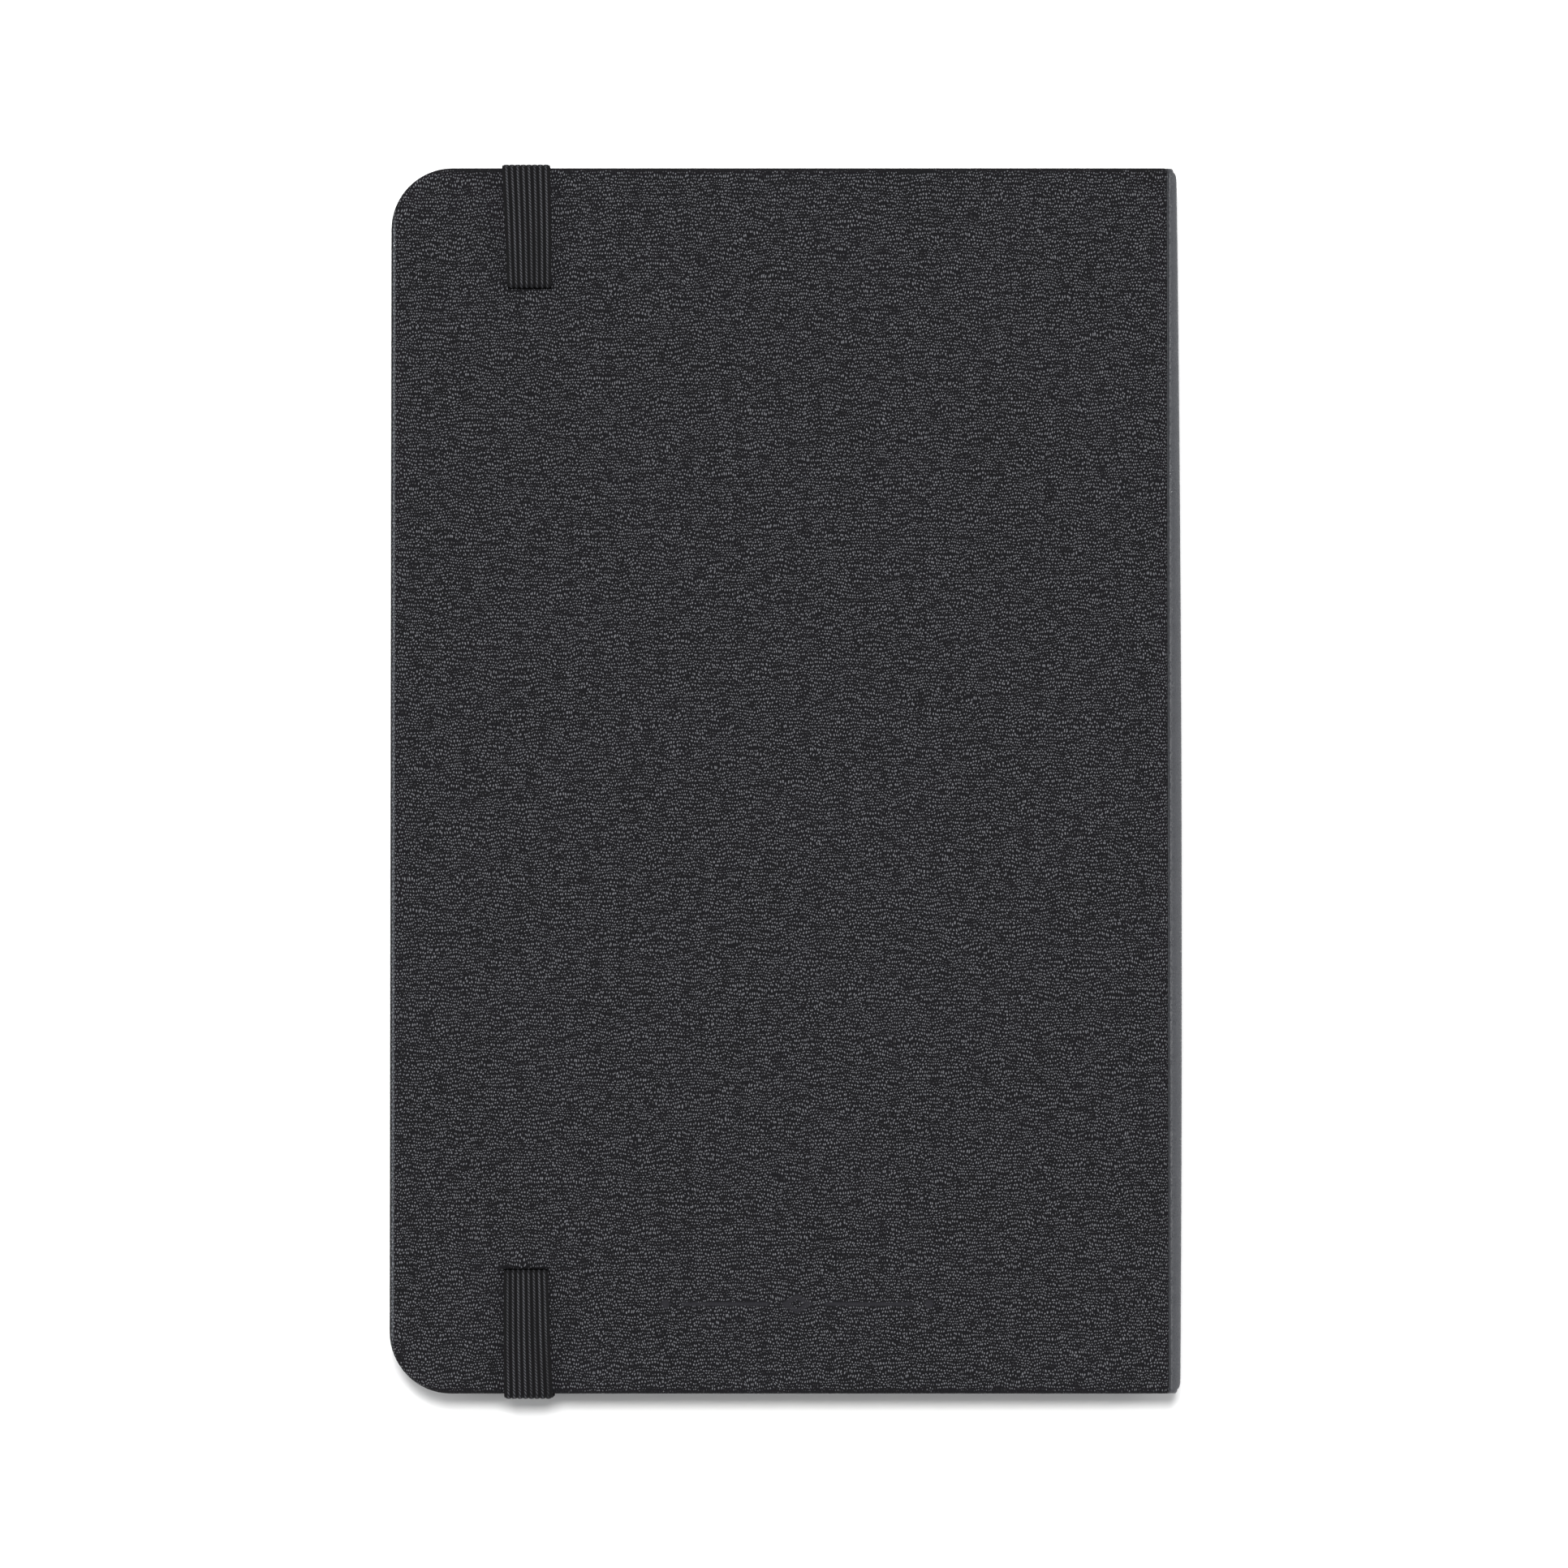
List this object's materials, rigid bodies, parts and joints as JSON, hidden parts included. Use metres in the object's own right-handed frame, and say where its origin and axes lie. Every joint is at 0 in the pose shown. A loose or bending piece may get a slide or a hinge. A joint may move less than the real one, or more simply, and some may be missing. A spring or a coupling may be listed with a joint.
{
  "type": "pocket notebook",
  "caption": "Hardcover pocket notebook with rounded fore-edge corners, sewn pages, ribbon marker, inner pocket and an elastic closure loop anchored in the back cover.",
  "frame": {"origin": "under the middle of the closed book, level with the underside of the elastic's front span, which the book lies on", "axes": "+X towards the spine, +Y towards the head of the book, +Z out of the back cover"},
  "size_m": [0.09, 0.1414, 0.0153],
  "materials": {
    "leatherette": "satin",
    "grey_board": "matte",
    "endpaper": "matte",
    "page_paper": "matte",
    "mull": "matte",
    "sewing_thread": "matte",
    "ribbon": "satin",
    "pocket_cloth": "matte",
    "elastic": "matte"
  },
  "bodies": {
    "text_block": {"spine_skin": "leatherette", "spine_stiffener": "grey_board", "spine_lining": "mull", "sewing_thread_1": "sewing_thread", "sewing_thread_2": "sewing_thread", "sewing_thread_3": "sewing_thread", "sewing_thread_4": "sewing_thread", "sewing_thread_5": "sewing_thread", "signature_02": "page_paper", "signature_03": "page_paper", "signature_04": "page_paper", "signature_05": "page_paper", "signature_06": "page_paper", "signature_07": "page_paper", "signature_08": "page_paper", "signature_09": "page_paper", "signature_10": "page_paper", "signature_11": "page_paper", "ribbon_marker": "ribbon"},
    "front_cover": {"front_cover_skin": "leatherette", "front_board": "grey_board", "front_mull_flap": "mull", "front_pastedown": "endpaper"},
    "back_cover": {"back_cover_skin": "leatherette", "back_board": "grey_board", "back_mull_flap": "mull", "back_pastedown": "endpaper", "pocket_gusset_head": "pocket_cloth", "pocket_gusset_tail": "pocket_cloth", "elastic_head_end": "elastic", "elastic_tail_end": "elastic"},
    "front_signature": {"signature_01": "page_paper"},
    "front_flyleaf_leaf": {"front_flyleaf": "endpaper"},
    "rear_signature": {"signature_12": "page_paper"},
    "rear_flyleaf_leaf": {"rear_flyleaf": "endpaper"},
    "pocket_flap": {"pocket_panel": "endpaper"},
    "elastic_loop": {"elastic_front_span": "elastic", "elastic_head_wrap": "elastic", "elastic_tail_wrap": "elastic"},
    "ribbon_free_end": {"ribbon_tail": "ribbon"}
  },
  "joints": [
    {"name": "back_cover_hinge", "type": "hinge", "parent": "text_block", "child": "back_cover", "pos_m": [0.0434, 0, 0.01469], "axis": [0, 1, 0], "range_deg": [0, 180]},
    {"name": "front_cover_hinge", "type": "hinge", "parent": "text_block", "child": "front_cover", "pos_m": [0.0434, 0, 0.00059], "axis": [0, -1, 0], "range_deg": [0, 180]},
    {"name": "rear_flyleaf_turn", "type": "hinge", "parent": "text_block", "child": "rear_flyleaf_leaf", "pos_m": [0.0426, 0, 0.01175], "axis": [0, 1, 0], "range_deg": [0, 17]},
    {"name": "rear_signature_turn", "type": "hinge", "parent": "text_block", "child": "rear_signature", "pos_m": [0.0426, 0, 0.01175], "axis": [0, 1, 0], "range_deg": [0, 7]},
    {"name": "front_flyleaf_turn", "type": "hinge", "parent": "text_block", "child": "front_flyleaf_leaf", "pos_m": [0.0426, 0, 0.00265], "axis": [0, -1, 0], "range_deg": [0, 17]},
    {"name": "front_signature_turn", "type": "hinge", "parent": "text_block", "child": "front_signature", "pos_m": [0.0426, 0, 0.00265], "axis": [0, -1, 0], "range_deg": [0, 7]},
    {"name": "pocket_opening", "type": "hinge", "parent": "back_cover", "child": "pocket_flap", "pos_m": [-0.0416, 0, 0.01267], "axis": [0, 1, 0], "range_deg": [0, 8.5]},
    {"name": "elastic_release", "type": "slide", "parent": "back_cover", "child": "elastic_loop", "axis": [0, 0, 1], "range_m": [0, 0.0092], "deforming": ["elastic_head_wrap", "elastic_tail_wrap", "elastic_front_span"]},
    {"name": "ribbon_pull", "type": "slide", "parent": "text_block", "child": "ribbon_free_end", "axis": [0, -1, 0], "range_m": [0, 0.045]}
  ],
  "couplings": [
    {"joint": "rear_flyleaf_turn", "follows": "back_cover_hinge", "ratio": 0.09},
    {"joint": "rear_signature_turn", "follows": "back_cover_hinge", "ratio": 0.035},
    {"joint": "front_flyleaf_turn", "follows": "front_cover_hinge", "ratio": 0.09},
    {"joint": "front_signature_turn", "follows": "front_cover_hinge", "ratio": 0.035},
    {"joint": "pocket_opening", "follows": "back_cover_hinge", "ratio": 0.045},
    {"joint": "elastic_release", "follows": "back_cover_hinge", "m_per_rad": 0.002928}
  ]
}
